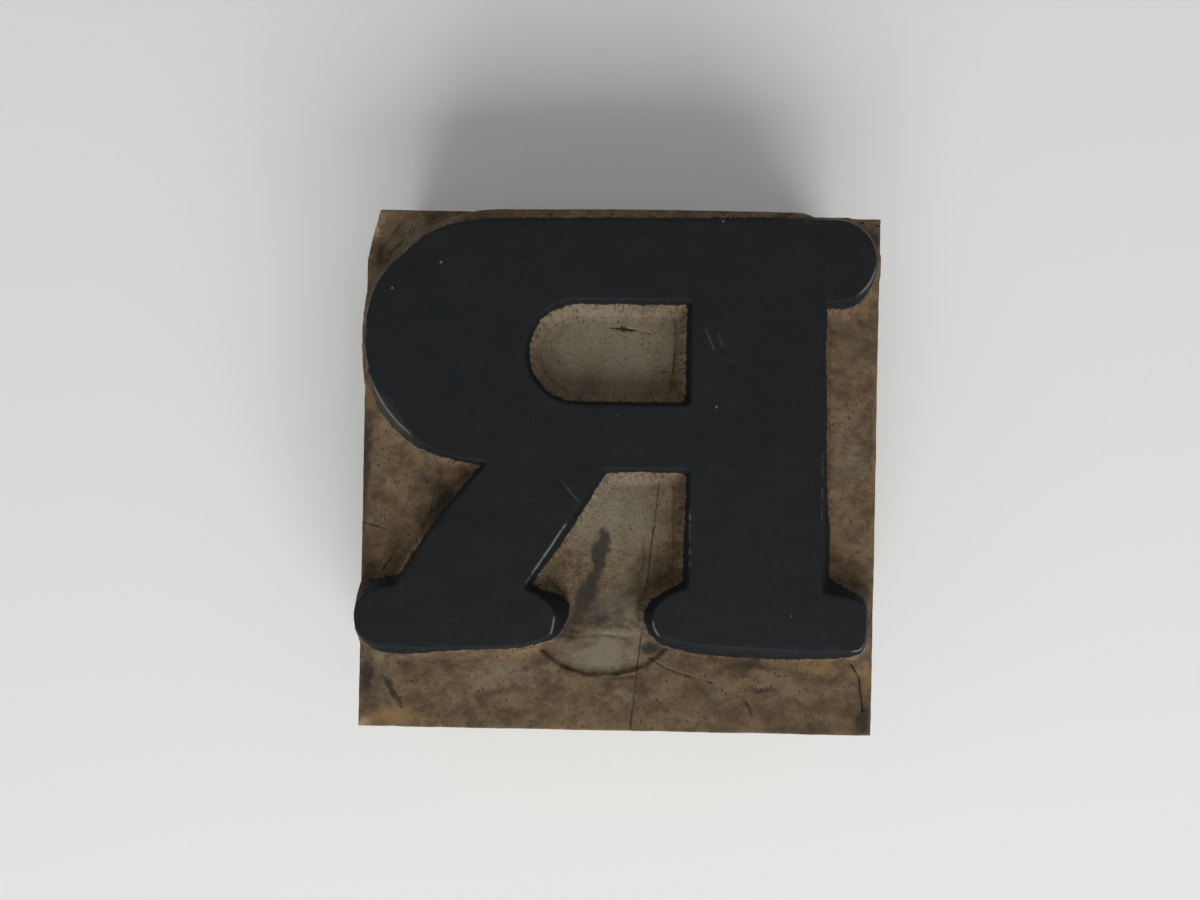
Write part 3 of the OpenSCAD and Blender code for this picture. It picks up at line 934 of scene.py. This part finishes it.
def raised_letter():
    """The letter as a closed mesh, and its underside, which the glue film fits."""
    edge = along(square * (half_w, half_h), 0.16)
    edge = edge[outside(edge) < wall_run]
    inner = grid_points(fine, (-half_w, -half_h), (half_w, half_h))
    out = outside(inner)
    walls = inner[(out > -0.3) & (out < wall_run) & (side_gap(inner) > 0.05)]
    face = grid_points(0.5, (-half_w, -half_h), (half_w, half_h))
    face = face[(outside(face) < -0.3) & (side_gap(face) > 0.05)]
    score_points = [
        (np.concatenate([along(path, 0.08), beside(path, 0.08, width)]), 0.05)
        for width, deep, shade, path in scores
    ]
    groups = [(edge, 0), (level_points(wall_run, fine), 0.08)]
    groups += [(level_points(level, fine), 0.06) for level in (0.0, -0.14, 0.06)]
    groups += score_points + [(walls, 0.09), (face, 0.3)]
    top = packed(groups)
    faces = on_letter(triangles(top), top)
    height = letter_height(top)

    open_edges = rims(faces)
    rim = np.unique(open_edges)
    place = np.full(len(top), -1)
    place[rim] = np.arange(len(rim))
    under = packed([(top[rim], 0), (grid_points(2, (-half_w, -half_h), (half_w, half_h)), 0.8)])
    keep = (outside(under) < wall_run - 0.3) & (side_gap(under) > 0.5)
    keep[:len(rim)] = True
    under = under[keep]
    under_faces = on_letter(triangles(under, place[open_edges].tolist()), under)

    points = np.concatenate([
        np.column_stack([top, height]), np.column_stack([under, np.full(len(under), letter_z)])])
    start = len(top)
    a, b = open_edges.T
    low_a, low_b = start + place[a], start + place[b]
    skirt = np.concatenate([np.column_stack([a, low_a, low_b]), np.column_stack([a, low_b, b])])
    every = np.concatenate([faces, skirt, under_faces[:, ::-1] + start])
    flush = side_gap(top[skirt[:, 0]]) < 0.02
    inked, planed = np.zeros(len(faces), int), np.ones(len(under_faces), int)
    kinds = np.concatenate([inked, flush.astype(int), planed])
    piece = make_piece("inked_letter", drawn_in(points), every, kinds, [top_finish, side_finish])
    note_marks(piece)
    piece.data.shade_smooth()
    return piece, under, under_faces


letter, film_points, film_faces = raised_letter()
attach(letter, "root")
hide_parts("letter")


def glue_film():
    """The film of glue between the letter and the block."""
    count = len(film_points)
    open_edges = rims(film_faces)
    flat = drawn_in(np.column_stack([film_points, np.full(count, letter_z)]))
    low = flat - (0, 0, letter_z - shoulder_z)
    a, b = open_edges.T
    skirt = np.concatenate([
        np.column_stack([a, a + count, b + count]), np.column_stack([a, b + count, b])])
    faces = np.concatenate([film_faces, film_faces[:, ::-1] + count, skirt])
    return make_piece("glue_film", np.concatenate([flat, low]), faces, np.zeros(len(faces), int), [glue])


film = glue_film()
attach(film, "root")
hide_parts("letter_glue")

# Table, lamps and camera
# A plain pale table top, soft light from a wide window on the side of the beard, and a camera
# that looks straight down as the photograph's does.
table_mesh = bpy.data.meshes.new("table")
reach = 1.2
table_corners = [(-reach, -reach, 0), (reach, -reach, 0), (reach, reach, 0), (-reach, reach, 0)]
table_mesh.from_pydata(table_corners, [], [(0, 1, 2, 3)])
table = bpy.data.objects.new("table", table_mesh)
bpy.context.scene.collection.objects.link(table)
pale = Finish("pale_table", Specular_IOR_Level=0.2)
table_mesh.materials.append(pale.done(paint(232, 233, 231), 0.8))


def lamp(name, place, width, height, power):
    """A soft lamp, sized in metres, that points at the block."""
    light = bpy.data.lights.new(name, "AREA")
    light.shape = "RECTANGLE"
    light.size = width
    light.size_y = height
    light.energy = power
    made = bpy.data.objects.new(name, light)
    made.location = place
    to_block = Vector((0, 0, 0)) - Vector(place)
    made.rotation_euler = to_block.to_track_quat("-Z", "Y").to_euler()
    bpy.context.scene.collection.objects.link(made)


lamp("window", (0.08, -0.55, 0.4), 0.7, 0.5, 5.4)
lamp("ceiling", (0.0, 0.1, 0.9), 0.8, 0.8, 0.7)

# The camera sees a white room, and the block is lit by a dimmer one
white_strength, dim_strength = 0.85, 0.28
world = bpy.data.worlds.new("room")
bpy.context.scene.world = world
world.use_nodes = True
room = world.node_tree
seen_white = room.nodes.new("ShaderNodeBackground")
seen_white.inputs["Color"].default_value = (1, 1, 1, 1)
seen_white.inputs["Strength"].default_value = white_strength
soft = room.nodes["Background"]
soft.inputs["Color"].default_value = (0.95, 0.97, 1, 1)
soft.inputs["Strength"].default_value = dim_strength
paths = room.nodes.new("ShaderNodeLightPath").outputs
seen = Value(paths["Is Camera Ray"])
for ray in ("Is Glossy Ray", "Is Transmission Ray"):
    seen = seen.math("MAXIMUM", seen, Value(paths[ray]))
mix = room.nodes.new("ShaderNodeMixShader")
feed(mix.inputs[0], seen)
room.links.new(soft.outputs[0], mix.inputs[1])
room.links.new(seen_white.outputs[0], mix.inputs[2])
room.links.new(mix.outputs[0], room.nodes["World Output"].inputs[0])

camera_x, camera_y, camera_z = -1.95, 2.17, 115.1
camera_turn = 1.15
camera_data = bpy.data.cameras.new("camera")
camera_data.sensor_width = 36
camera_data.lens = 29.13
camera_data.clip_start = 0.005
camera = bpy.data.objects.new("camera", camera_data)
camera.location = (camera_x * MM, camera_y * MM, camera_z * MM)
camera.rotation_euler = (0, 0, math.radians(camera_turn))
bpy.context.scene.collection.objects.link(camera)
bpy.context.scene.camera = camera
bpy.context.scene.view_settings.view_transform = "Standard"
